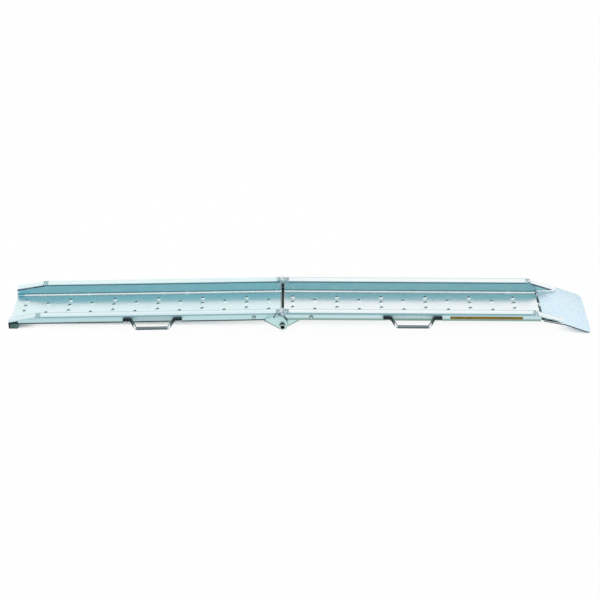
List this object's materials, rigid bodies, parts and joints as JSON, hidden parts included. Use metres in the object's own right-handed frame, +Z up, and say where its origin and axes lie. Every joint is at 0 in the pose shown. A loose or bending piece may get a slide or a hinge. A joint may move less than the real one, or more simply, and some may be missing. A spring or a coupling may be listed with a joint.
{
  "type": "folding loading ramp",
  "caption": "Folding aluminium loading ramp with dimpled channel sections, a fold hinge, handles along one side and a bent tongue plate at the upper end.",
  "frame": {"origin": "middle of the outer box, on the level ground that the open ramp stands on", "axes": "+X from the ground end to the tongue, +Y away from the handles, +Z up"},
  "size_m": [2.2376, 0.3514, 0.0843],
  "materials": {
    "rolled_sheet": "satin rolled",
    "tongue_plate": "mill",
    "end_plate": "mill, welded",
    "hinge_lug": "mill",
    "rail_bar": "mill",
    "handle_rod": "brushed",
    "hinge_rod": "turned",
    "hinge_collar": "turned",
    "zinc_steel": "zinc plated",
    "foot_block": "matt",
    "end_cap": "matt"
  },
  "bodies": {
    "ground_section": {"ground_channel": "rolled_sheet", "ground_handle": "handle_rod", "hinge_rod": "hinge_rod", "ground_end_plate_near": "end_plate", "ground_end_plate_far": "end_plate", "ground_lug_near": "hinge_lug", "ground_lug_far": "hinge_lug", "ground_rail_bar_near": "rail_bar", "ground_rail_bar_far": "rail_bar", "ground_rail_bolt_near": "zinc_steel", "ground_rail_bolt_far": "zinc_steel", "ground_rail_nut_near": "zinc_steel", "ground_rail_nut_far": "zinc_steel", "hinge_washer_near": "zinc_steel", "hinge_washer_far": "zinc_steel", "hinge_collar_near": "hinge_collar", "hinge_collar_far": "hinge_collar", "ground_foot_near": "foot_block", "ground_foot_far": "foot_block", "ground_end_cap_near": "end_cap", "ground_end_cap_far": "end_cap"},
    "truck_section": {"truck_channel": "rolled_sheet", "truck_handle": "handle_rod", "tongue_plate": "tongue_plate", "truck_end_plate_near": "end_plate", "truck_end_plate_far": "end_plate", "truck_lug_near": "hinge_lug", "truck_lug_far": "hinge_lug", "truck_rail_bolt_near": "zinc_steel", "truck_rail_bolt_far": "zinc_steel", "truck_rail_nut_near": "zinc_steel", "truck_rail_nut_far": "zinc_steel"}
  },
  "joints": [
    {"name": "fold_hinge", "type": "hinge", "parent": "ground_section", "child": "truck_section", "pos_m": [-0.0683, 0.0141, 0.02822], "axis": [0, 1, 0], "range_deg": [0, 178.5]}
  ]
}
